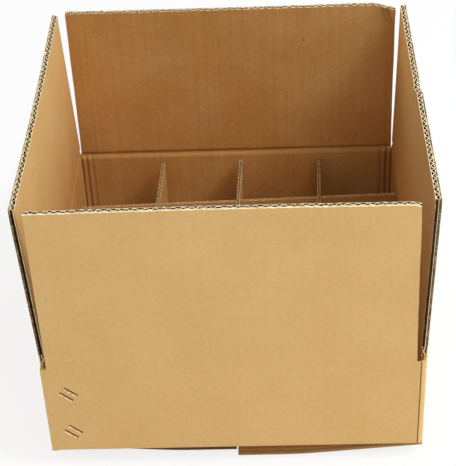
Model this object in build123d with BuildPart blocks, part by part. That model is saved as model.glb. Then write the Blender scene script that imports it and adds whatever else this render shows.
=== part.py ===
from build123d import *
from math import atan2, cos, radians, sin
import os

# Corrugated bottle shipping box: a slotted carton with its top flaps standing open and a divider grid inside.
# Millimetres. X runs left to right, Y from the front to the back, Z up from the surface under the box.

# Carton, outside sizes
box_length = 350.0
box_width = 350.0
wall_height = 106.0  # front panel, from its bottom fold to its top crease
board = 5.5  # double-wall board
fold_gap = 0.3  # air between boards that fold past each other
corner_radius = 6.0  # outside of the vertical folds
fold_radius = 4.0  # outside of the folds into the inner bottom flaps
flap_setback = 6.0  # from a corner of the box to a flap's side edge
slot_relief = 1.5  # the slots between flaps run this far past the creases

# Top flaps
end_flap_gap = 1.5  # between the front and back flaps when they are shut
front_trim = 3.5  # more set-back of the front flap's right edge at its crease
front_slant = 2.5  # that edge leans in by this much at its free end
flap_leans = {"front": 0.5, "back": 0.2, "left": 2.4, "right": 1.7}  # degrees outwards

# Bottom flaps
floor_sag = 9.9  # from the side walls' bottom folds down to the surface
flat_run = 60.0  # part of each outer flap that lies flat, from the middle of the box
bow_radius = 500.0  # where an outer flap bends up from its flat part
floor_seam = 1.5  # between two bottom flaps that meet
left_floor_setback = 14.0  # front corner to the left outer flap's edge
floor_setback = 6.0  # corners to the other edges of the outer flaps

# Flutes that show on cut edges
flute_pitch = 6.3
liner = 0.5  # flat paper between the flutes
flute_depth = 12.0
flute_share = 0.8  # of the pitch that an open flute takes
edge_groove = 1.5  # depth of the grooves along edges that run with the flutes

# Vertical score ridges beside the back and front corners
ridge_width = 6.2
ridge_rise = 1.1
ridges_per_corner = 2
score_side = 1.3  # of the square score line down the outside of the front right corner

# Lapped joint at the front left corner, closed by stitches
tab_width = 40.0
tab_taper = 9.0  # drop at the top and bottom of the tab's free edge
stitch_length = 15.0
stitch_wire = 2.2  # width of the flat wire
stitch_thickness = 0.8
stitch_bend = 0.9  # radius at the middle of the wire
stitch_proud = 0.5  # height of the wire's face over the panel
stitch_clinch = 5.0  # leg turned over inside
stitch_angle = 40.0  # degrees down to the right
stitch_spacing = 7.6  # between the two stitches of a pair
stitch_inset = 22.0  # left edge of the panel to the middle of a pair
stitch_height_shares = (0.24, 0.69)  # of the wall's height

# Divider grid
divider_board = 3.2
divider_liner = 0.4
divider_drop = 8.0  # from the front crease down to the dividers' top edges
divider_clearance = 4.5  # end of a divider to the wall
divider_slot_gap = 0.6  # slot width over the board's thickness
column_share = 0.25  # of the inside length from one cross divider to the next
row_share = 0.262  # of the inside width from one long divider to the next
grid_rack = 1.9  # degrees that each way of the slack grid is pushed out of square

overrun = 1.0  # how far a cutting shape passes the face that it cuts

# Places that follow from the sizes
half_length = box_length / 2
half_width = box_width / 2
inside_half_length = half_length - board
inside_half_width = half_width - board
end_flap_width = box_length - 2 * flap_setback
side_flap_width = box_width - 2 * flap_setback
side_fold_z = floor_sag
end_fold_z = side_fold_z + board + fold_gap
inside_z = end_fold_z + board
end_crease_z = end_fold_z + wall_height
side_crease_z = end_crease_z + board + fold_gap
divider_top = end_crease_z - divider_drop
divider_middle = (inside_z + divider_top) / 2
hairline = fold_gap / 2


def stitch_planes():
    """One plane for each stitch: X along the wire's crown, Y into the board, at the panel's face."""
    turn = radians(stitch_angle)
    along = Vector(cos(turn), 0, -sin(turn))
    across = Vector(sin(turn), 0, cos(turn))
    for share in stitch_height_shares:
        middle = Vector(stitch_inset - half_length, -half_width, end_fold_z + wall_height * share)
        for side in (-1, 1):
            yield Plane(middle + across * (side * stitch_spacing / 2), x_dir=along, z_dir=across)


# Four flat-wire stitches through the front panel and the joint's tab, clinched inside
clinch_y = 2 * board + fold_gap + stitch_thickness / 2
clinch_middle = (stitch_length + stitch_thickness - stitch_clinch) / 2
crown_y = stitch_thickness / 2 - stitch_proud
with BuildPart() as wire_stitches:
    for plane in stitch_planes():
        with BuildSketch(plane):
            with BuildLine():
                FilletPolyline(
                    (-stitch_length / 2, clinch_y),
                    (-stitch_length / 2, crown_y),
                    (stitch_length / 2, crown_y),
                    (stitch_length / 2, clinch_y),
                    radius=stitch_bend,
                )
            trace(line_width=stitch_thickness)
            # Both ends are bent in flat behind the tab
            with Locations((-clinch_middle, clinch_y), (clinch_middle, clinch_y)):
                Rectangle(stitch_clinch, stitch_thickness)
        extrude(amount=stitch_wire / 2, both=True)
wire_stitches.part.label = "wire_stitches"


# Walls, inner bottom flaps and joint tab: one sheet folded into a square
with BuildPart() as carton_body:
    # Front wall with its crease cut and its inner flap folded in at the bottom, and the same at the back
    with BuildSketch(Plane.YZ) as end_strip:
        with BuildLine():
            Polyline(
                (-half_width, end_crease_z - hairline),
                (-half_width, end_fold_z),
                (-floor_seam / 2, end_fold_z),
                (-floor_seam / 2, inside_z),
                (-inside_half_width, inside_z),
                (-inside_half_width, end_crease_z - hairline - board),
                close=True,
            )
        make_face()
        fillet(end_strip.vertices().sort_by_distance((-half_width, end_fold_z))[0], radius=fold_radius)
    extrude(amount=end_flap_width / 2, both=True)
    mirror(about=Plane.XZ)

    # Left wall, cut at its crease and at its bottom fold, and the same on the right
    with BuildSketch(Plane.XZ):
        with BuildLine():
            Polyline(
                (-half_length, side_fold_z + hairline),
                (-half_length, side_crease_z - hairline),
                (-inside_half_length, side_crease_z - hairline - board),
                (-inside_half_length, side_fold_z + hairline + board),
                close=True,
            )
        make_face()
    extrude(amount=side_flap_width / 2, both=True)
    mirror(about=Plane.YZ)

    # Vertical folds at the corners, between the slots; the front left one is a square lap
    with BuildSketch(Plane.XY.offset(end_fold_z + slot_relief)) as corners:
        Rectangle(box_length, box_width)
        lap_corner = corners.vertices().sort_by_distance((-half_length, -half_width))[0]
        fillet(corners.vertices() - ShapeList([lap_corner]), radius=corner_radius)
        Rectangle(2 * inside_half_length, 2 * inside_half_width, mode=Mode.SUBTRACT)
        Rectangle(end_flap_width, box_width, mode=Mode.SUBTRACT)
        Rectangle(box_length, side_flap_width, mode=Mode.SUBTRACT)
    extrude(amount=wall_height - 2 * slot_relief)

    # Ridges that the scoring raises inside the front and back walls
    ridge_places = [
        (side * (inside_half_length - ridge_width * (step + 1 / 2)), end * inside_half_width)
        for end in (-1, 1)
        for side in (-1, 1)
        for step in range(ridges_per_corner)
        if (side, end) != (-1, -1)
    ]
    with BuildSketch(Plane.XY.offset(inside_z)):
        with Locations(*ridge_places):
            Ellipse(ridge_width / 2, ridge_rise)
    extrude(amount=end_crease_z - inside_z - board - hairline)

    # Tab of the left wall, lapped inside the front wall
    with BuildSketch(Plane.XZ.offset(inside_half_width - fold_gap)):
        with BuildLine():
            Polyline(
                (-inside_half_length - board / 2, inside_z + slot_relief),
                (-inside_half_length, inside_z + slot_relief),
                (tab_width - inside_half_length, inside_z + slot_relief + tab_taper),
                (tab_width - inside_half_length, end_crease_z - board - slot_relief - tab_taper),
                (-inside_half_length, end_crease_z - board - slot_relief),
                (-inside_half_length - board / 2, end_crease_z - board - slot_relief),
                close=True,
            )
        make_face()
    extrude(amount=-board)

    # Score line down the outside of the front right fold
    with BuildSketch(Plane.XY.offset(end_fold_z)):
        with Locations((inside_half_length, -half_width)):
            Rectangle(score_side, score_side, rotation=45)
    extrude(amount=wall_height, mode=Mode.SUBTRACT)

    # The lap is open: the front panel's cut end stands clear of the left wall's fold
    with BuildSketch(Plane.XY.offset(end_fold_z)):
        with Locations((-half_length, (fold_gap / 2) - inside_half_width)):
            Rectangle(2 * (flap_setback + overrun), fold_gap)
    extrude(amount=wall_height, mode=Mode.SUBTRACT)
    add(wire_stitches.part, mode=Mode.SUBTRACT)
carton_body.part.label = "carton_body"


def flute_places(length, keep_clear=()):
    """Middles of the open flutes along a cut edge, evenly spaced and off any slot."""
    count = int((length - 2 * edge_groove) // flute_pitch) - 1
    places = [(step - (count - 1) / 2) * flute_pitch for step in range(count)]
    clear = flute_pitch / 2 + divider_board
    return [place for place in places if all(abs(place - slot) > clear for slot in keep_clear)]


def top_flap(hinge, length, width, trim=0, slant=0):
    """A flap that stands on its crease: hinge has X along the crease, Y up the flap and Z outwards."""
    side_view = Plane(hinge.origin, x_dir=hinge.y_dir, z_dir=hinge.x_dir)
    free_edge = Plane(
        hinge.origin + hinge.y_dir * length - hinge.z_dir * (board / 2), x_dir=hinge.x_dir, z_dir=hinge.y_dir
    )
    flute_height = (board - 3 * liner) / 2
    open_flute = flute_pitch * flute_share
    with BuildPart() as flap:
        with BuildSketch(side_view):
            with BuildLine():
                Polyline(
                    (hairline, 0),
                    (length, 0),
                    (length, -board),
                    (hairline + board, -board),
                    close=True,
                )
            make_face()
        extrude(amount=width / 2, both=True)
        if trim:
            with BuildSketch(hinge.offset(overrun)):
                with BuildLine():
                    Polyline(
                        (width / 2 - trim, 0),
                        (width / 2 + overrun, 0),
                        (width / 2 + overrun, length + overrun),
                        (width / 2 - trim - slant * (1 + overrun / length), length + overrun),
                        close=True,
                    )
                make_face()
            extrude(amount=-board - 2 * overrun, mode=Mode.SUBTRACT)
        # Two rows of open flutes along the free edge, set against each other by half a pitch
        with BuildSketch(free_edge):
            for row, shift in ((-1, 0), (1, flute_pitch / 2)):
                near, far = row * liner / 2, row * (liner / 2 + flute_height)
                places = [place + shift - (trim + slant) / 2 for place in flute_places(width - trim - slant)]
                with Locations(*[(place, 0) for place in places]):
                    Polygon((-open_flute / 2, far), (open_flute / 2, far), (0, near), align=None)
        extrude(amount=-flute_depth, mode=Mode.SUBTRACT)
        # Two grooves between the papers along each side edge that runs with the flutes
        square_edges = (-1,) if trim else (-1, 1)
        with BuildSketch(free_edge):
            for row in (-1, 1):
                groove_height = row * (liner + flute_height) / 2
                with Locations(*[(edge * width / 2, groove_height) for edge in square_edges]):
                    Rectangle(2 * edge_groove, flute_height)
        extrude(amount=board + hairline - length, mode=Mode.SUBTRACT)
    return flap


upwards = Vector(0, 0, 1)
outwards = {
    "front": Vector(0, -1, 0),
    "back": Vector(0, 1, 0),
    "left": Vector(-1, 0, 0),
    "right": Vector(1, 0, 0),
}
end_flap_length = half_width - end_flap_gap / 2
side_flap_length = end_flap_length - (side_crease_z - end_crease_z)  # the blank's edge is one straight cut
top_flaps = []
for side, outward in outwards.items():
    if side in ("front", "back"):
        crease = outward * half_width + upwards * end_crease_z
        length, width = end_flap_length, end_flap_width
    else:
        crease = outward * half_length + upwards * side_crease_z
        length, width = side_flap_length, side_flap_width
    lean = radians(flap_leans[side])
    hinge = Plane(crease, x_dir=upwards.cross(outward), z_dir=outward * cos(lean) - upwards * sin(lean))
    cut_back = (front_trim, front_slant) if side == "front" else ()
    flap = top_flap(hinge, length, width, *cut_back)
    flap.part.label = "top_flap_" + side
    top_flaps.append(flap.part)


# Outer bottom flaps: flat where they lie on the surface, then rising to the side walls' bottom folds
slope = atan2(side_fold_z, half_length - flat_run)
down_slope = Vector(cos(slope), -sin(slope))
through_board = Vector(sin(slope), cos(slope))
fold_corner = Vector(-half_length, side_fold_z)
hinge_edge = fold_corner + down_slope * hairline
mitre_edge = hinge_edge + (down_slope + through_board) * board
upper_bend = -flat_run + board * (1 - cos(slope)) / sin(slope)
bottom_flaps = []
for side, front_setback in (("left", left_floor_setback), ("right", floor_setback)):
    with BuildPart() as bottom_flap:
        with BuildSketch(Plane.XZ.offset(half_width - front_setback)) as bow:
            with BuildLine():
                Polyline(
                    (hinge_edge.X, hinge_edge.Y),
                    (-flat_run, 0),
                    (-floor_seam / 2, 0),
                    (-floor_seam / 2, board),
                    (upper_bend, board),
                    (mitre_edge.X, mitre_edge.Y),
                    close=True,
                )
            make_face()
            fillet(bow.vertices().sort_by_distance((-flat_run, 0))[0], radius=bow_radius)
            fillet(bow.vertices().sort_by_distance((upper_bend, board))[0], radius=bow_radius - board)
        extrude(amount=front_setback + floor_setback - box_width)
        if side == "right":
            mirror(about=Plane.YZ, mode=Mode.REPLACE)
    bottom_flap.part.label = "bottom_flap_" + side
    bottom_flaps.append(bottom_flap.part)


def divider(face, top_edge, half_span, crossings, slots_from_top):
    """A divider standing on the floor of the box, with half-height slots where others cross it."""
    slot_width = divider_board + divider_slot_gap
    slot_height = divider_top - divider_middle + divider_slot_gap / 2
    slot_z = divider_top - slot_height / 2 if slots_from_top else inside_z + slot_height / 2
    flute_height = divider_board - 2 * divider_liner
    open_flute = flute_pitch * flute_share
    with BuildPart() as panel:
        with BuildSketch(face):
            with Locations((0, divider_middle)):
                Rectangle(2 * half_span, divider_top - inside_z)
            with Locations(*[(crossing, slot_z) for crossing in crossings]):
                Rectangle(slot_width, slot_height, mode=Mode.SUBTRACT)
        extrude(amount=divider_board / 2, both=True)
        with BuildSketch(top_edge):
            slots = crossings if slots_from_top else ()
            with Locations(*[(place, 0) for place in flute_places(2 * half_span, slots)]):
                Polygon(
                    (-open_flute / 2, -flute_height / 2),
                    (open_flute / 2, -flute_height / 2),
                    (0, flute_height / 2),
                    align=None,
                )
        extrude(amount=-flute_depth, mode=Mode.SUBTRACT)
    return panel


# Divider grid: cross dividers run front to back and drop over the long ones, racked a little out of square
rack = radians(grid_rack)
along_row = Vector(cos(rack), sin(rack), 0)
along_column = Vector(sin(rack), cos(rack), 0)
column_places = [2 * inside_half_length * column_share * step for step in (-1, 0, 1)]
row_places = [2 * inside_half_width * row_share * step for step in (-1, 0, 1)]
dividers = []
for number, place in enumerate(column_places, 1):
    middle = along_row * place
    face = Plane(middle, x_dir=along_column, z_dir=along_column.cross(upwards))
    top_edge = Plane(middle + upwards * divider_top, x_dir=along_column, z_dir=upwards)
    panel = divider(face, top_edge, inside_half_width - divider_clearance, row_places, False)
    panel.part.label = f"cross_divider_{number}"
    dividers.append(panel.part)
for number, place in enumerate(row_places, 1):
    middle = along_column * place
    face = Plane(middle, x_dir=along_row, z_dir=along_row.cross(upwards))
    top_edge = Plane(middle + upwards * divider_top, x_dir=along_row, z_dir=upwards)
    panel = divider(face, top_edge, inside_half_length - divider_clearance, column_places, True)
    panel.part.label = f"long_divider_{number}"
    dividers.append(panel.part)


os.makedirs("parts", exist_ok=True)
for piece in [carton_body.part, wire_stitches.part, *top_flaps, *bottom_flaps, *dividers]:
    export_step(piece, f"parts/{piece.label}.step")
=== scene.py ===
"""Looks of the bottle shipping box: corrugated flaps and dividers, kraft paper, copper stitches, a white studio."""

import math

import bmesh
import bpy
import numpy as np
from mathutils import Matrix, Vector


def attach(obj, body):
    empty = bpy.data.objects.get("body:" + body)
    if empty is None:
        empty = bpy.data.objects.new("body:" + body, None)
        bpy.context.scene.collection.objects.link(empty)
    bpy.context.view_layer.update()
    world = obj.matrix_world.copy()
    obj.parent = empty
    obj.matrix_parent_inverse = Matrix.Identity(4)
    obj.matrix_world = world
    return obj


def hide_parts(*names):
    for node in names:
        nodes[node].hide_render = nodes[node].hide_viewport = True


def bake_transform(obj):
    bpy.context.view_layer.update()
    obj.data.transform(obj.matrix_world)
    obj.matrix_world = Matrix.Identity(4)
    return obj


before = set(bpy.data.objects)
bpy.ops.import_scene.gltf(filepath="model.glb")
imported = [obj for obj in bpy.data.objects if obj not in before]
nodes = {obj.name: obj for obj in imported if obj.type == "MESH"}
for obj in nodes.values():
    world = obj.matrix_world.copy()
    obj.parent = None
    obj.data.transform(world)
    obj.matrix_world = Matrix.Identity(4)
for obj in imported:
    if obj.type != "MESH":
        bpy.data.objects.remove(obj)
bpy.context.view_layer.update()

# Sizes of the CAD part, in metres
BOX = 0.350
HALF = BOX / 2
BOARD = 0.0055
FOLD_GAP = 0.0003
SETBACK = 0.006
FRONT_TRIM = 0.0035
FRONT_SLANT = 0.0025
END_CREASE = 0.1217
SIDE_CREASE = 0.1275
FLOOR = 0.0212
FLOOR_FOLD = 0.0099  # creases of the outer bottom flaps
FLOOR_SLOPE = math.radians(4.92)  # of those flaps, down from their creases
FLAT_RUN = 0.060  # half of the bottom that lies flat
DIVIDER_TOP = 0.1137
DIVIDER_BOARD = 0.0032
DIVIDER_HALF = 0.165
DIVIDER_SLOT = 0.0038
RACK = math.radians(1.9)
PITCH = 0.0063
END_LENGTH = 0.17425
SIDE_LENGTH = END_LENGTH - (SIDE_CREASE - END_CREASE)
INSIDE = HALF - BOARD
BACK_TOP = END_CREASE + END_LENGTH
FOLD_REACH = 0.006  # the crushed strip goes this far up a flap
UP = Vector((0, 0, 1))
OUTWARDS = {
    "front": Vector((0, -1, 0)),
    "back": Vector((0, 1, 0)),
    "left": Vector((-1, 0, 0)),
    "right": Vector((1, 0, 0)),
}
LEANS = {"front": 0.5, "back": 0.2, "left": 2.4, "right": 1.7}
# How much painted shade browns and darkens each flap's inner face, at its crease and at its free edge
INNER_SHADE = {"front": (0.8, 0.8), "back": (1.0, 0.95), "left": (1.0, 0.0), "right": (0.9, 0.15)}
STITCH_TURN = math.radians(40)
STITCH_SPACING = 0.0076
STITCH_MIDDLES = [(-0.153, 0.04114), (-0.153, 0.08884)]


class Socket:
    """An output socket that sums can be written with."""

    def __init__(self, graph, link):
        self.graph = graph
        self.link = link

    def output(self, name):
        return Socket(self.graph, self.link.node.outputs[name])

    def __add__(self, other):
        return self.graph.maths("ADD", self, other)

    def __radd__(self, other):
        return self.graph.maths("ADD", other, self)

    def __sub__(self, other):
        return self.graph.maths("SUBTRACT", self, other)

    def __rsub__(self, other):
        return self.graph.maths("SUBTRACT", other, self)

    def __mul__(self, other):
        return self.graph.maths("MULTIPLY", self, other)

    def __rmul__(self, other):
        return self.graph.maths("MULTIPLY", other, self)

    def __truediv__(self, other):
        return self.graph.maths("DIVIDE", self, other)

    def __neg__(self):
        return self.graph.maths("MULTIPLY", self, -1)

    def __abs__(self):
        return self.graph.maths("ABSOLUTE", self)

    def __gt__(self, other):
        return self.graph.maths("GREATER_THAN", self, other)

    def __lt__(self, other):
        return self.graph.maths("LESS_THAN", self, other)


class Graph:
    """Adds nodes to a shader or geometry tree."""

    def __init__(self, tree):
        self.tree = tree

    def add(self, kind, settings=None, values=None, output=0):
        """A new node: its settings are made first, then its sockets take values or links."""
        node = self.tree.nodes.new(kind)
        for name, value in (settings or {}).items():
            setattr(node, name, value)
        for name, value in (values or {}).items():
            for part in value if isinstance(value, list) else [value]:
                if isinstance(part, Socket):
                    self.tree.links.new(part.link, node.inputs[name])
                else:
                    node.inputs[name].default_value = part
        return Socket(self, node.outputs[output]) if node.outputs else node

    def maths(self, operation, *terms):
        return self.add("ShaderNodeMath", {"operation": operation}, dict(enumerate(terms)))

    def sine(self, angle):
        return self.maths("SINE", angle)

    def vector(self, x=0.0, y=0.0, z=0.0):
        return self.add("ShaderNodeCombineXYZ", values={0: x, 1: y, 2: z})

    def noise(self, at, scale, detail=2.0, roughness=0.5):
        values = {"Vector": at, "Scale": scale, "Detail": detail, "Roughness": roughness}
        return self.add("ShaderNodeTexNoise", values=values)

    def ramp(self, value, low, high, to_low=0.0, to_high=1.0):
        """The value taken smoothly from one range to another."""
        settings = {"interpolation_type": "SMOOTHSTEP"}
        return self.add("ShaderNodeMapRange", settings, {0: value, 1: low, 2: high, 3: to_low, 4: to_high})

    def mix(self, share, first, second, blend="MIX"):
        settings = {"data_type": "RGBA", "blend_type": blend, "clamp_factor": True}
        return self.add("ShaderNodeMix", settings, {0: share, 6: first, 7: second}, output=2)


def new_material(name):
    material = bpy.data.materials.new(name)
    material.use_nodes = True
    material.node_tree.nodes.clear()
    return material, Graph(material.node_tree)


def finish_material(graph, values):
    shader = graph.add("ShaderNodeBsdfPrincipled", values=values)
    graph.add("ShaderNodeOutputMaterial", values={"Surface": shader})


def kraft(name, outer, inner, at_rest, washboard=1.0, cut_ends=False):
    """Kraft paper over flutes that run up and down.

    at_rest reads the piece's own rest place, for pieces that bend; cut_ends draws the ends of the bottom flaps.
    """
    material, g = new_material(name)
    if at_rest:
        place = g.add("ShaderNodeAttribute", {"attribute_name": "rest"}, output="Vector")
        inside = g.add("ShaderNodeAttribute", {"attribute_name": "inside"}, output="Fac")
    else:
        place = g.add("ShaderNodeTexCoord", output="Object")
    parts = g.add("ShaderNodeSeparateXYZ", values={0: place})
    x, y, z = parts, parts.output("Y"), parts.output("Z")
    if cut_ends:
        height = z - g.maths("MAXIMUM", abs(x) - FLAT_RUN, 0.0) * math.tan(FLOOR_SLOPE)
        cut = g.maths("MAXIMUM", y > 0.1688, y < (x > 0) * -0.008 - 0.1608)
        inside = g.maths("MAXIMUM", height > BOARD / 2, cut)
    elif not at_rest:
        inside = g.maths("MAXIMUM", abs(x), abs(y)) < HALF - BOARD / 2
    sideways = abs(x) > abs(y)
    across = x + sideways * (y - x)

    # Long soft fibres, short dark ones, clouds in the pulp and streaks along the flutes
    grain = g.noise(g.vector(x * 0.45, y * 0.45, z), 620.0, 3.0, 0.62)
    fibre = g.noise(g.vector(x, y, z * 0.3), 1500.0, 2.0, 0.55)
    cloud = g.noise(place, 16.0, 3.0, 0.55)
    specks = g.ramp(g.noise(g.vector(x * 0.6, y * 0.6, z), 260.0, 1.0, 0.4), 0.72, 0.80)
    flute = g.sine(across * (2 * math.pi / PITCH))
    streak = g.noise(g.vector(across, across * 0.0, z * 0.03), 170.0, 2.0, 0.5)
    mottle = g.noise(place, 230.0, 1.0, 0.5)
    strength = 1 + inside
    tone = 0.93 + (grain - 0.5) * strength * 0.24 + (fibre - 0.5) * 0.14 + (cloud - 0.5) * 0.10
    tone = tone + (streak - 0.5) * (0.4 + 1.6 * inside) * 0.11 + (mottle - 0.5) * 0.10
    worn = 0.3 + 0.7 * inside
    tone = tone + flute * worn * (0.008 * washboard) - specks * 0.05 + 0.07
    if at_rest:
        # A small scuff inside the back flap and a faint smudge inside the left one
        for middle, size, dark in (((0.075, 0.170, 0.258), 0.0016, 0.45), ((-0.177, -0.08, 0.268), 0.008, 0.10)):
            offset = g.add("ShaderNodeVectorMath", {"operation": "DISTANCE"}, {0: place, 1: middle}, output="Value")
            ragged = offset + (grain - 0.5) * (size * 0.9)
            tone = tone - g.ramp(ragged, size, size * 0.3) * dark
        # Painted shade up the back flap and down the left one, and a painted highlight on the right flap's inner face
        tone = tone * (1 - g.ramp(z, 0.18, 0.29) * (y > 0.15) * inside * 0.12)
        tone = tone * (1 - g.ramp(z, 0.19, 0.13) * (x < -0.15) * inside * 0.10)
        depth = g.add("ShaderNodeAttribute", {"attribute_name": "depth"}, output="Fac")
        tone = tone * (1 + g.ramp(z, 0.19, 0.30) * g.ramp(y, -0.10, 0.15) * (x > 0.1693) * (depth > 0.5) * 0.5)
        # Painted shade along slanting buckles beside the back flap's bent corner, and paler paper past them
        slant = x + (z - BACK_TOP) * 0.25
        for middle, width, dark in ((0.1599, 0.0022, 0.36), (0.1547, 0.0026, 0.24)):
            line = g.ramp(abs(slant - middle + (grain - 0.5) * 0.002), width, 0.0)
            tone = tone - line * g.ramp(z, 0.272, 0.290) * (y > 0.15) * dark
        bent = g.ramp(slant, 0.1590, 0.1640) * g.ramp(z, 0.262, 0.288) * (y > 0.15)
        tone = tone * (1 + bent * inside * 0.15)
        inside = inside * (1 - bent * 0.6)
    else:
        # Painted shade in the seams where two walls meet, a painted shadow round each stitch, a painted highlight
        # along the bottom fold and painted shade in the corner score
        corner = g.ramp(abs(x), INSIDE - 0.0020, INSIDE - 0.0004) * g.ramp(abs(y), INSIDE - 0.0020, INSIDE - 0.0004)
        tone = tone * (1 - corner * inside * 0.6)
        stitch_shadow = 1.0
        for across_x, across_z in STITCH_MIDDLES:
            lean_x, lean_z = x - across_x, z - across_z
            run = abs(lean_x * math.cos(STITCH_TURN) - lean_z * math.sin(STITCH_TURN)) - 0.0072
            rise = lean_x * math.sin(STITCH_TURN) + lean_z * math.cos(STITCH_TURN)
            for middle in (-STITCH_SPACING / 2, STITCH_SPACING / 2):
                apart = abs(rise - (middle + 0.0008)) - 0.0011
                stitch_shadow = g.maths("MINIMUM", stitch_shadow, g.maths("MAXIMUM", run, apart))
        stitch_shadow = g.ramp(stitch_shadow, 0.0008, 0.0004) * (y < -INSIDE)
        fold_highlight = g.ramp(z, 0.0175, 0.0160) * (y < -INSIDE)
        tone = tone * (1 + fold_highlight * 0.22)
        score = g.ramp(abs(x - INSIDE), 0.0009, 0.0003) * (y < -INSIDE)
        tone = tone * (1 - score * 0.55)
    # Painted shade in the valleys beside the score ridges
    for middle, width, dark in ((0.1634, 0.0020, 0.45), (0.1572, 0.0026, 0.36)):
        valley_shade = g.ramp(abs(abs(x) - middle), width, width * 0.15) * (abs(y) > 0.160) * (z < END_CREASE - 0.0005)
        tone = tone * (1 - valley_shade * inside * dark)
    if cut_ends:
        # Papers and dark flutes on the ends of the bottom flaps, with painted shade: darker towards the top, and
        # darker still on the left flap's end
        layer = 0.30 + g.ramp(height, 0.0050, 0.0012) * 0.30 + (fibre - 0.5) * 0.3
        layer = layer * (0.45 + (x > 0) * 0.55) + g.ramp(height, 0.0009, 0.0004) * 0.5
        tone = tone * (1 - cut) + cut * layer
    # Inner faces take the inner colour, which is painted shade
    paper = g.mix(inside, outer, inner)
    pale = g.mix(g.ramp(cloud, 0.35, 0.7) * 0.25, paper, (0.66, 0.44, 0.20, 1.0))
    colour = g.mix(1.0, pale, g.add("ShaderNodeCombineColor", values={0: tone, 1: tone, 2: tone}), "MULTIPLY")
    if not at_rest:
        # Painted shadow round each stitch, in dark brown
        colour = g.mix(stitch_shadow * 0.95, colour, (0.075, 0.018, 0.001, 1.0))

    relief = flute * worn * (0.5 * washboard) + (grain - 0.5) * 0.5 + (fibre - 0.5) * 0.35 + (cloud - 0.5) * 3.0
    bump = g.add("ShaderNodeBump", values={"Strength": 0.55, "Distance": 0.00009, "Height": relief})
    rough = 0.80 + (grain - 0.5) * 0.18 + (cloud - 0.5) * 0.10
    finish_material(g, {"Base Color": colour, "Roughness": rough, "Normal": bump, "Specular IOR Level": 0.25})
    return material


def cut_paper(name, light, dark, at_rest, low=0.36, high=0.62):
    """Torn, paler fibres on a cut edge."""
    material, g = new_material(name)
    if at_rest:
        place = g.add("ShaderNodeAttribute", {"attribute_name": "rest"}, output="Vector")
    else:
        place = g.add("ShaderNodeTexCoord", output="Object")
    fuzz = g.noise(place, 1400.0, 3.0, 0.65)
    patch = g.noise(place, 220.0, 2.0, 0.5)
    colour = g.mix(g.ramp(fuzz * 0.6 + patch * 0.4, low, high), dark, light)
    bump = g.add("ShaderNodeBump", values={"Strength": 0.6, "Distance": 0.0001, "Height": fuzz})
    rough = 0.82 + (patch - 0.5) * 0.2
    finish_material(g, {"Base Color": colour, "Roughness": rough, "Normal": bump, "Specular IOR Level": 0.0})
    return material


def crushed_edge():
    """The end of a crushed crease: three papers with painted shade in the gaps between them."""
    material, g = new_material("crushed_edge")
    place = g.add("ShaderNodeAttribute", {"attribute_name": "rest"}, output="Vector")
    depth = g.add("ShaderNodeAttribute", {"attribute_name": "depth"}, output="Fac")
    fuzz = g.noise(place, 900.0, 3.0, 0.65)
    depth = depth + (fuzz - 0.5) * 0.12
    apart = g.maths("MINIMUM", abs(depth - 0.05), g.maths("MINIMUM", abs(depth - 0.5), abs(depth - 0.93)))
    colour = g.mix(g.ramp(apart, 0.12, 0.05), (0.10, 0.055, 0.025, 1.0), (0.80, 0.58, 0.30, 1.0))
    bump = g.add("ShaderNodeBump", values={"Strength": 0.8, "Distance": 0.0003, "Height": g.ramp(apart, 0.12, 0.04)})
    rough = 0.78 + (fuzz - 0.5) * 0.2
    finish_material(g, {"Base Color": colour, "Roughness": rough, "Normal": bump, "Specular IOR Level": 0.0})
    return material


def copper_wire():
    """Dull copper-coated wire with scratches and darker oxide."""
    material, g = new_material("stitch_wire")
    place = g.add("ShaderNodeTexCoord", output="Object")
    drawn = g.noise(place, 1800.0, 2.0, 0.6)
    oxide = g.ramp(g.noise(place, 320.0, 3.0, 0.6), 0.4, 0.65)
    colour = g.mix(oxide, (0.88, 0.66, 0.34, 1.0), (0.54, 0.34, 0.14, 1.0))
    bump = g.add("ShaderNodeBump", values={"Strength": 0.3, "Distance": 0.00005, "Height": drawn})
    values = {"Base Color": colour, "Metallic": 0.9 - oxide * 0.25, "Roughness": 0.36 + drawn * 0.2, "Normal": bump}
    finish_material(g, values)
    return material


OUTER = (0.640, 0.402, 0.152, 1.0)
# Inner faces: the outer kraft made darker and browner by painted shade
SHADED_INNER = (0.565, 0.276, 0.075, 1.0)
CARD = (0.580, 0.308, 0.098, 1.0)
paper_piece = kraft("kraft_flap", OUTER, SHADED_INNER, True)
paper_cad = kraft("kraft_wall", OUTER, SHADED_INNER, False)
paper_floor = kraft("kraft_floor_flap", OUTER, SHADED_INNER, False, cut_ends=True)
paper_card = kraft("divider_paper", CARD, CARD, True, 0.6)
edge_piece = cut_paper("cut_edge", (0.98, 0.88, 0.62, 1.0), (0.86, 0.62, 0.33, 1.0), True)
edge_fine = cut_paper("cut_fine", (0.92, 0.74, 0.44, 1.0), (0.22, 0.13, 0.055, 1.0), True, 0.45, 0.58)
edge_dark = cut_paper("cut_fine_dark", (0.80, 0.60, 0.34, 1.0), (0.12, 0.07, 0.03, 1.0), True, 0.48, 0.58)
edge_side = cut_paper("cut_side", (0.58, 0.42, 0.22, 1.0), (0.13, 0.075, 0.032, 1.0), True, 0.47, 0.66)
# Near-black paper in the flutes: painted shade inside the board
fluting = cut_paper("fluting", (0.10, 0.055, 0.024, 1.0), (0.045, 0.025, 0.011, 1.0), True)
edge_card = cut_paper("card_edge", (0.80, 0.56, 0.28, 1.0), (0.50, 0.30, 0.12, 1.0), True)
fluting_plain = cut_paper("closed_fluting", (0.62, 0.36, 0.13, 1.0), (0.45, 0.25, 0.09, 1.0), True)
# Near-black paper in the card's flutes: painted shade inside the board
fluting_card = cut_paper("card_fluting", (0.13, 0.07, 0.03, 1.0), (0.07, 0.038, 0.016, 1.0), True)
crushed = crushed_edge()
wire = copper_wire()


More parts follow.
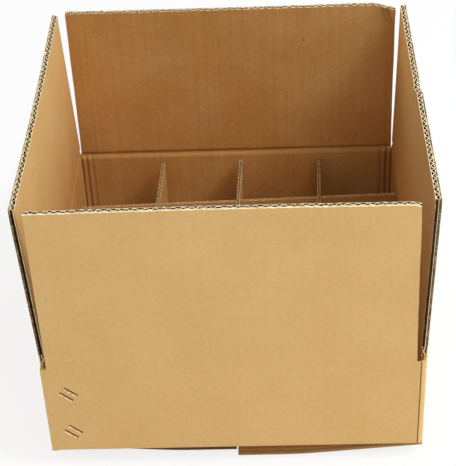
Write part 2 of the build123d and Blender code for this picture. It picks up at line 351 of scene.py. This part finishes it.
def board_tree():
    """Corrugated board lying flat: flutes along Y, outer face at Z 0, liners and waves below it."""
    tree = bpy.data.node_groups.new("corrugated_board", "GeometryNodeTree")
    kinds = {
        "Width": "Float",
        "Height": "Float",
        "Pitch": "Float",
        "Liner": "Float",
        "Flute": "Float",
        "Medium": "Float",
        "Rows": "Int",
        "Seed": "Int",
        "Paper": "Material",
        "Edge": "Material",
        "Fluting": "Material",
    }
    for name, kind in kinds.items():
        tree.interface.new_socket(name, in_out="INPUT", socket_type=f"NodeSocket{kind}")
    tree.interface.new_socket("Board", in_out="OUTPUT", socket_type="NodeSocketGeometry")
    g = Graph(tree)
    first = g.add("NodeGroupInput")
    given = {name: first.output(name) for name in kinds}
    waves = given["Width"] / given["Pitch"]

    def thick_sheet(columns, lift, thickness, is_medium):
        """A closed sheet from a grid; lift gives the height of its lower side."""
        sizes = {"Size X": given["Width"], "Size Y": given["Height"]}
        grid = g.add("GeometryNodeMeshGrid", values={**sizes, "Vertices X": columns, "Vertices Y": given["Rows"]})
        low = g.add("GeometryNodeSetPosition", values={"Geometry": grid, "Offset": g.vector(z=lift)})
        values = {"Mesh": low, "Offset": (0.0, 0.0, 1.0), "Offset Scale": thickness, "Individual": False}
        raised = g.add("GeometryNodeExtrudeMesh", {"mode": "FACES"}, values)
        settings = {"data_type": "BOOLEAN", "domain": "FACE"}
        edge = {"Geometry": raised, "Name": "cut", "Value": raised.output("Side")}
        marked = g.add("GeometryNodeStoreNamedAttribute", settings, edge)
        under = g.add("GeometryNodeFlipFaces", values={"Mesh": low})
        both = g.add("GeometryNodeJoinGeometry", values={"Geometry": [marked, under]})
        closed = g.add("GeometryNodeMergeByDistance", values={"Geometry": both, "Distance": 1e-6})
        kind = {"Geometry": closed, "Name": "medium", "Value": is_medium}
        return g.add("GeometryNodeStoreNamedAttribute", settings, kind)

    x = g.add("ShaderNodeSeparateXYZ", values={0: g.add("GeometryNodeInputPosition")})
    wobble = g.add(
        "ShaderNodeTexNoise",
        {"noise_dimensions": "1D"},
        {"W": x / given["Pitch"] * 0.35 + given["Seed"] * 7.3, "Scale": 1.0, "Detail": 1.0},
    )
    wave = g.sine((x / given["Pitch"] + (wobble - 0.5) * 0.5) * (2 * math.pi))
    sag = wave * ((given["Flute"] - given["Medium"]) / 2) - given["Liner"] - (given["Flute"] + given["Medium"]) / 2
    liner = thick_sheet(waves * 2 + 2, -given["Liner"], given["Liner"], False)
    medium = thick_sheet(waves * 12 + 2, sag, given["Medium"], True)
    step = g.vector(z=-(given["Liner"] + given["Flute"]))
    stacks = []
    for sheet, count in ((liner, 2), (medium, 1)):
        line = {"mode": "OFFSET", "count_mode": "TOTAL"}
        points = g.add("GeometryNodeMeshLine", line, {"Count": count, "Offset": step})
        turn = g.vector(z=g.add("GeometryNodeInputIndex") * math.pi)
        values = {"Points": points, "Instance": sheet, "Rotation": turn}
        stacks.append(g.add("GeometryNodeInstanceOnPoints", values=values))
    board = g.add("GeometryNodeJoinGeometry", values={0: stacks})
    board = g.add("GeometryNodeRealizeInstances", values={"Geometry": board})
    board = g.add("GeometryNodeSetMaterial", values={"Geometry": board, "Material": given["Paper"]})
    for name, material in (("medium", "Fluting"), ("cut", "Edge")):
        chosen = g.add("GeometryNodeInputNamedAttribute", {"data_type": "BOOLEAN"}, {"Name": name})
        values = {"Geometry": board, "Selection": chosen, "Material": given[material]}
        board = g.add("GeometryNodeSetMaterial", values=values)
    g.add("NodeGroupOutput", values={"Board": board})
    return tree


BOARD_TREE = board_tree()
LINER = 0.0005
FINE_WALL = 0.0014  # outer wall of the double-wall board
FLUTE_PITCH = 0.0078


def board_mesh(width, height, thickness, pitch, medium, rows, seed, papers):
    """A plain mesh of flat single-wall board, its lower left corner at the origin."""
    holder = bpy.data.objects.new("board", bpy.data.meshes.new("board"))
    bpy.context.collection.objects.link(holder)
    modifier = holder.modifiers.new("board", "NODES")
    modifier.node_group = BOARD_TREE
    values = {
        "Width": width,
        "Height": height,
        "Pitch": pitch,
        "Liner": LINER,
        "Flute": thickness - LINER * 2,
        "Medium": medium,
        "Rows": rows,
        "Seed": seed,
        "Paper": papers[0],
        "Edge": papers[1],
        "Fluting": papers[2],
    }
    for item in BOARD_TREE.interface.items_tree:
        if item.in_out == "INPUT":
            modifier[item.identifier] = values[item.name]
    shown = holder.evaluated_get(bpy.context.evaluated_depsgraph_get())
    mesh = bpy.data.meshes.new_from_object(shown)
    holder.modifiers.clear()
    bpy.data.objects.remove(holder)
    mesh.transform(Matrix.Translation((width / 2, height / 2, 0)))
    return mesh


def loft(profile, places):
    """A closed bar: the profile's (height, depth) loop carried along X, with its ends closed in a second material."""
    mesh = bpy.data.meshes.new("bar")
    count = len(profile)
    points = [(x, h, -d) for x in places for h, d in profile]
    faces = []
    for ring in range(len(places) - 1):
        for i in range(count):
            j = (i + 1) % count
            a, b = ring * count, (ring + 1) * count
            faces.append((a + i, b + i, b + j, a + j))
    faces.append(tuple(range(count)))
    last = (len(places) - 1) * count
    faces.append(tuple(reversed(range(last, last + count))))
    mesh.from_pydata(points, [], faces)
    work = bmesh.new()
    work.from_mesh(mesh)
    work.faces.ensure_lookup_table()
    for cap in work.faces[-2:]:
        cap.material_index = 1
    bmesh.ops.recalc_face_normals(work, faces=work.faces)
    work.to_mesh(mesh)
    work.free()
    return mesh


def joined(name, meshes, materials):
    """One mesh of several; each keeps its materials by name."""
    work = bmesh.new()
    for mesh in meshes:
        before = len(work.faces)
        work.from_mesh(mesh)
        work.faces.ensure_lookup_table()
        order = [materials.index(m) if m else 0 for m in mesh.materials]
        for face in work.faces[before:]:
            face.material_index = order[min(face.material_index, len(order) - 1)]
    result = bpy.data.meshes.new(name)
    work.to_mesh(result)
    work.free()
    for material in materials:
        result.materials.append(material)
    for attribute in ("cut", "medium"):
        if attribute in result.attributes:
            result.attributes.remove(result.attributes[attribute])
    return result


def coordinates(mesh):
    values = np.empty(len(mesh.vertices) * 3, np.float32)
    mesh.vertices.foreach_get("co", values)
    return values.reshape(-1, 3).astype(float)


def write(mesh, name, kind, values):
    field = "vector" if kind == "FLOAT_VECTOR" else "value"
    attribute = mesh.attributes.new(name, kind, "POINT")
    attribute.data.foreach_set(field, np.asarray(values, np.float32).ravel())


def ripple(values, seed):
    """Smooth noise between -1 and 1 along a line, from a few sines."""
    dice = np.random.default_rng(seed)
    total = np.zeros_like(values)
    for wave_length in (0.19, 0.083, 0.037, 0.017, 0.0079):
        total += np.sin(values * 2 * np.pi / wave_length + dice.uniform(0, 6.28)) * dice.uniform(0.4, 1.0)
    return total / 3.5


def place_piece(name, mesh):
    mesh.set_sharp_from_angle(angle=math.radians(40))
    piece = bpy.data.objects.new(name, mesh)
    bpy.context.collection.objects.link(piece)
    return piece


def bell(value, middle, width):
    return np.exp(-(((value - middle) / width) ** 2))


def flap_warp(side, u, v):
    """How far the flap's board stands off its plane outwards, and how far its free edge is pushed down."""
    if side == "front":
        out = -0.0016 * np.sin(np.clip(u, 0, 0.338) / 0.338 * np.pi) * (v / 0.174) ** 2
        down = 0.002 * np.clip((0.007 - np.hypot(0.333 - u, 0.174 - v)) / 0.007, 0, 1)
    elif side == "back":
        out = -0.0012 * np.sin(np.clip(u, 0, 0.338) / 0.338 * np.pi) * (v / 0.174)
        corner = np.clip((0.022 - np.hypot(u, (v - 0.174) * 1.1)) / 0.022, 0, 1)
        out = out - 0.006 * corner
        down = 0.0035 * corner
    elif side == "left":
        out = -0.0014 * np.sin(np.clip(u, 0, 0.338) / 0.338 * np.pi) * (v / 0.168) ** 2
        down = np.zeros_like(u)
    else:
        step = np.clip((u - 0.166) / 0.014, 0, 1)
        out = -0.0010 * step * (v / 0.168) ** 2 - 0.0006 * bell(u, 0.178, 0.006) * (v / 0.168) ** 6
        down = 0.0010 * bell(u, 0.175, 0.004) * (v / 0.168) ** 8
    return out, down


# Profile of the crushed board at a crease: (height, depth) from the outer face's crease line, all round
CREASE_PROFILE = [
    (-0.00015, 0.0),
    (0.0006, 0.0),
    (0.0016, 0.0),
    (0.0034, 0.0),
    (FOLD_REACH, 0.0),
    (FOLD_REACH, BOARD),
    (0.0046, BOARD),
    (0.0034, BOARD - 0.0002),
    (0.0023, BOARD - 0.0011),
    (0.0015, BOARD - 0.0020),
    (0.0004, BOARD - 0.0022),
    (-0.0008, BOARD - 0.0018),
    (-0.0018, BOARD - 0.0012),
    (-0.0030, BOARD - 0.0006),
    (-0.0044, BOARD - 0.0002),
    (-0.0058, BOARD),
    (-0.0059, BOARD - 0.0002),
    (-0.0032, 0.0028),
]


def top_flap(side):
    """A flap of double-wall board on its crushed crease, with the CAD flap's size and lean."""
    ends = side in ("front", "back")
    outward = OUTWARDS[side]
    along = UP.cross(outward)
    lean = math.radians(LEANS[side])
    length = END_LENGTH if ends else SIDE_LENGTH
    crease = outward * HALF + UP * (END_CREASE if ends else SIDE_CREASE)
    width = BOX - 2 * SETBACK
    seed = list(OUTWARDS).index(side)
    papers = [paper_piece, edge_piece, fluting]
    outer_edge = edge_dark if side == "right" else edge_fine
    fine_papers = papers if side == "front" else [paper_piece, outer_edge, fluting]
    fine = board_mesh(width, length - FOLD_REACH, FINE_WALL, FLUTE_PITCH / 2, 0.0004, 14, seed, fine_papers)
    fine.transform(Matrix.Translation((0, FOLD_REACH, 0)))
    coarse = board_mesh(width, length - FOLD_REACH, BOARD - FINE_WALL, FLUTE_PITCH, 0.0007, 14, 10 + seed, papers)
    coarse.transform(Matrix.Translation((0, FOLD_REACH, -FINE_WALL)))
    close = np.arange(0, 0.015, 0.0008)
    wide = np.linspace(0.015, width - 0.015, 37)
    strip = loft(CREASE_PROFILE, np.concatenate([close, wide, (width - close)[::-1]]))
    strip.materials.append(paper_piece)
    strip.materials.append(crushed)
    mesh = joined(f"{side}_flap_board", [fine, coarse, strip], [*papers, crushed, edge_side, outer_edge])
    # Side cuts are darkened with painted shade from their open flutes, and paper seen inside the flutes gets the same
    # painted shade
    for face in mesh.polygons:
        if face.material_index in (1, 5) and abs(face.normal.x) > 0.9:
            face.material_index = 4
        elif face.center.y > FOLD_REACH and -BOARD + 0.0001 < face.center.z < -0.0001 and face.material_index == 0:
            face.material_index = 2
    local = coordinates(mesh)
    u, v, z = local.T
    # Painted shade on the inner face, from the crease to the free edge; none on the outer face
    low, high = INNER_SHADE[side]
    inside = (z < -BOARD / 2) * (high + (low - high) * (1 - np.clip(v / length, 0, 1)) ** 1.6)
    # Less painted shade on the crease's lower lip: a painted highlight
    inside = inside * (1 - 0.5 * np.clip(1 + v / 0.0048, 0, 1) * (v < 0.0003))
    depth = -z / BOARD
    if not ends:
        z = np.where((z < -0.003) & (v < FOLD_REACH), -BOARD + (z + BOARD) * 0.45, z)
    if ends:
        # The wall's score ridges run on into the crease
        for middle in (0.1664, 0.1602):
            off = np.clip((np.abs(u - width / 2) - middle) / 0.0031, -1, 1)
            run_out = np.clip((-0.0012 - v) / 0.0035, 0, 1)
            z = z - np.where(z < -0.003, 0.0011 * np.sqrt(1 - off**2) * run_out, 0.0)
    if side == "front":
        u = u * (1 - (FRONT_TRIM + FRONT_SLANT * np.clip(v, 0, None) / length) / width)

    def spread(u, v, z):
        """Places of points on the flap: below the crease they follow the wall."""
        high = (v > 0)[:, None]
        risen = np.array(UP * math.cos(lean) + outward * math.sin(lean))
        facing = np.array(outward * math.cos(lean) - UP * math.sin(lean))
        base = np.array(crease) + np.outer(u - width / 2, np.array(along))
        flap = np.outer(v, risen) + np.outer(z, facing)
        wall = np.outer(v, np.array(UP)) + np.outer(z, np.array(outward))
        return base + np.where(high, flap, wall)

    rest = spread(u, v, z)
    out, down = flap_warp(side, u, np.clip(v, 0, None))
    # The cut edge is a little uneven, and the papers part slightly at it
    near_edge = np.clip((v - length + 0.006) / 0.006, 0, 1)
    scallop = 0.5 + 0.5 * np.sin(u * 2 * np.pi / PITCH + 3 * ripple(u, 30 + seed))
    ragged = (0.5 + 0.5 * ripple(u + z * 3.0, 20 + seed)) * 0.0005 + scallop * 0.0005
    shift = np.where(near_edge > 0, ripple(u * 1.7 + z, 40 + seed) * 0.00018, 0.0)
    frayed = (0.5 + 0.5 * ripple(v * 1.3 + z * 4.0, 50 + seed)) * 0.0008 * np.clip(v / 0.02, 0, 1)
    first = np.where(u < 0.001, frayed * (side != "front"), 0.0)
    last = np.where(u > u.max() - 0.0065, frayed * (u > 0.9 * width), 0.0)
    u = u + first - last
    placed = spread(u, v - near_edge * ragged - down, z + out + near_edge * (shift - 0.00018))
    mesh.vertices.foreach_set("co", placed.astype(np.float32).ravel())
    write(mesh, "rest", "FLOAT_VECTOR", rest)
    write(mesh, "inside", "FLOAT", inside)
    write(mesh, "depth", "FLOAT", depth)
    piece = place_piece(f"{side}_flap_board", mesh)
    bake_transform(piece)
    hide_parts(f"top_flap_{side}")


for side in OUTWARDS:
    top_flap(side)


def floor_fold(side):
    """The outer paper that runs from a side wall round the crease onto its bottom flap."""
    outward = OUTWARDS[side]
    crease = outward * HALF + UP * FLOOR_FOLD
    inward = -outward * math.cos(FLOOR_SLOPE) - UP * math.sin(FLOOR_SLOPE)
    below = outward * math.sin(FLOOR_SLOPE) - UP * math.cos(FLOOR_SLOPE)
    near, far, skin, face = 0.0008, 0.004, 0.00003, 0.0002
    loop = [UP * far + outward * face, UP * near + outward * face, (outward - UP) * (face * 0.8)]
    loop += [inward * near + below * face, inward * far + below * face]
    loop += [inward * far + below * skin, inward * near + below * skin, (outward - UP) * skin]
    loop += [UP * near + outward * skin, UP * far + outward * skin]
    front = -HALF + (0.0145 if side == "left" else 0.0065)
    strip = loft([(p.z, -p.dot(outward)) for p in loop], np.linspace(front, HALF - 0.0065, 24))
    for _ in range(2):
        strip.materials.append(paper_piece)
    y, up, out = coordinates(strip).T
    placed = np.array(crease) + np.outer(y, (0, 1, 0)) + np.outer(up, np.array(UP)) + np.outer(out, np.array(outward))
    strip.vertices.foreach_set("co", placed.astype(np.float32).ravel())
    if side == "left":
        strip.flip_normals()
    write(strip, "rest", "FLOAT_VECTOR", placed)
    piece = place_piece(f"{side}_floor_fold", strip)
    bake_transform(piece)


for side in ("left", "right"):
    floor_fold(side)


def divider(name, middle, along, crossings, from_top, seed):
    """A slotted card of single-wall board: each half is one panel, or four between the slots."""
    card_papers = [paper_card, edge_card, fluting_card if not from_top else fluting_plain]
    height = (DIVIDER_TOP - FLOOR) / 2
    stops = [-DIVIDER_HALF] + sorted(crossings) + [DIVIDER_HALF]
    panels = []
    for upper in (False, True):
        low = height if upper else 0.0
        if upper == from_top:
            spans = []
            for i in range(len(stops) - 1):
                left = stops[i] + (DIVIDER_SLOT / 2 if i > 0 else 0)
                right = stops[i + 1] - (DIVIDER_SLOT / 2 if i < len(crossings) else 0)
                spans.append((left, right))
        else:
            spans = [(-DIVIDER_HALF, DIVIDER_HALF)]
        for left, right in spans:
            panel = board_mesh(right - left, height, DIVIDER_BOARD, PITCH, 0.0006, 8, seed, card_papers)
            panel.transform(Matrix.Translation((left, low, DIVIDER_BOARD / 2)))
            panels.append(panel)
    mesh = joined(name, panels, card_papers)
    # Paper inside the board takes the fluting colour: painted shade on the cross cards
    for face in mesh.polygons:
        if face.material_index == 0 and abs(face.center.z) < DIVIDER_BOARD / 2 - 0.0001:
            face.material_index = 2
    u, v, z = coordinates(mesh).T
    normal = along.cross(UP)

    def spread(u, v, z):
        base = np.array(middle) + np.array(UP) * FLOOR
        return base + np.outer(u, np.array(along)) + np.outer(v, np.array(UP)) + np.outer(z, np.array(normal))

    rest = spread(u, v, z)
    top = np.clip((v - 2 * height + 0.006) / 0.006, 0, 1)
    ragged = (0.5 + 0.5 * ripple(u + z * 3.0, 60 + seed)) * 0.0004
    placed = spread(u, v - top * ragged, z)
    mesh.vertices.foreach_set("co", placed.astype(np.float32).ravel())
    write(mesh, "rest", "FLOAT_VECTOR", rest)
    write(mesh, "inside", "FLOAT", np.ones(len(rest)))
    piece = place_piece(name, mesh)
    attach(piece, "carton")
    return piece


along_row = Vector((math.cos(RACK), math.sin(RACK), 0))
along_column = Vector((math.sin(RACK), math.cos(RACK), 0))
column_places = [2 * INSIDE * 0.25 * step for step in (-1, 0, 1)]
row_places = [2 * INSIDE * 0.262 * step for step in (-1, 0, 1)]
for number in (1, 2, 3):
    cross = divider(
        f"cross_card_{number}", along_row * column_places[number - 1], along_column, row_places, False, 10 + number
    )
    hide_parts(f"cross_divider_{number}")
    long = divider(
        f"long_card_{number}", along_column * row_places[number - 1], along_row, column_places, True, 20 + number
    )
    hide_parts(f"long_divider_{number}")


# Materials of the CAD nodes that stay in view
coats = {
    "carton_body": paper_cad,
    "bottom_flap_left": paper_floor,
    "bottom_flap_right": paper_floor,
    "wire_stitches": wire,
}
for name, material in coats.items():
    nodes[name].data.materials.clear()
    nodes[name].data.materials.append(material)


# Floor, light and camera
def floor_material():
    material, g = new_material("studio_floor")
    place = g.add("ShaderNodeTexCoord", output="Object")
    mottle = g.noise(place, 3.0, 2.0, 0.5)
    shade = 0.90 + (mottle - 0.5) * 0.02
    colour = g.add("ShaderNodeCombineColor", values={0: shade, 1: shade, 2: shade})
    shader = g.add("ShaderNodeBsdfPrincipled", values={"Base Color": colour, "Roughness": 0.6 + mottle * 0.2})
    glow = g.add("ShaderNodeEmission", values={"Color": (1.0, 1.0, 1.0, 1.0), "Strength": 1.0})
    lift = g.add("ShaderNodeLightPath").output("Is Camera Ray") * 0.80
    both = g.add("ShaderNodeMixShader", values={0: lift, 1: shader, 2: glow})
    g.add("ShaderNodeOutputMaterial", values={"Surface": both})
    return material


floor_mesh = bpy.data.meshes.new("studio_floor")
side_length = 12.0
corners = [(-side_length, -side_length, 0), (side_length, -side_length, 0)]
corners += [(side_length, side_length, 0), (-side_length, side_length, 0)]
floor_mesh.from_pydata(corners, [], [(0, 1, 2, 3)])
floor_mesh.materials.append(floor_material())
floor = bpy.data.objects.new("studio_floor", floor_mesh)
bpy.context.collection.objects.link(floor)


def area_light(name, place, target, size, power):
    light = bpy.data.lights.new(name, "AREA")
    light.shape = "DISK"
    light.size = size
    light.energy = power
    lamp = bpy.data.objects.new(name, light)
    lamp.location = place
    lamp.rotation_euler = (Vector(target) - Vector(place)).to_track_quat("-Z", "Y").to_euler()
    bpy.context.collection.objects.link(lamp)


area_light("key", (1.55, -0.45, 2.30), (0, 0, 0.15), 0.9, 34.0)
area_light("side", (2.3, -0.5, 1.05), (0, 0, 0.2), 1.6, 18.5)
area_light("high_front", (0.6, -1.7, 2.0), (0, 0, 0.15), 1.2, 7.0)

world = bpy.data.worlds.new("studio")
bpy.context.scene.world = world
world.use_nodes = True
world.node_tree.nodes.clear()
sky = Graph(world.node_tree)
path = sky.add("ShaderNodeLightPath")
seen = sky.maths("MAXIMUM", path.output("Is Camera Ray"), path.output("Is Glossy Ray"))
seen = sky.maths("MAXIMUM", seen, path.output("Is Transmission Ray"))
ambient = sky.add("ShaderNodeBackground", values={"Color": (1.0, 1.0, 1.0, 1.0), "Strength": 0.61})
white = sky.add("ShaderNodeBackground", values={"Color": (1.0, 1.0, 1.0, 1.0), "Strength": 1.0})
both = sky.add("ShaderNodeMixShader", values={0: seen, 1: ambient, 2: white})
sky.add("ShaderNodeOutputWorld", values={"Surface": both})

camera_data = bpy.data.cameras.new("camera")
camera_data.lens = 110.39
camera_data.sensor_width = 36.0
camera_data.clip_start = 0.05
camera = bpy.data.objects.new("camera", camera_data)
right = Vector((0.999135, 0.012011, -0.039807))
lower = Vector((-0.024458, -0.604463, -0.796258))
ahead = Vector((-0.033625, 0.796543, -0.603646))
turn = Matrix((right, -lower, -ahead)).transposed()
camera.matrix_world = Matrix.Translation((0.04184, -1.12778, 0.99305)) @ turn.to_4x4()
bpy.context.collection.objects.link(camera)
bpy.context.scene.camera = camera
bpy.context.scene.view_settings.view_transform = "Standard"
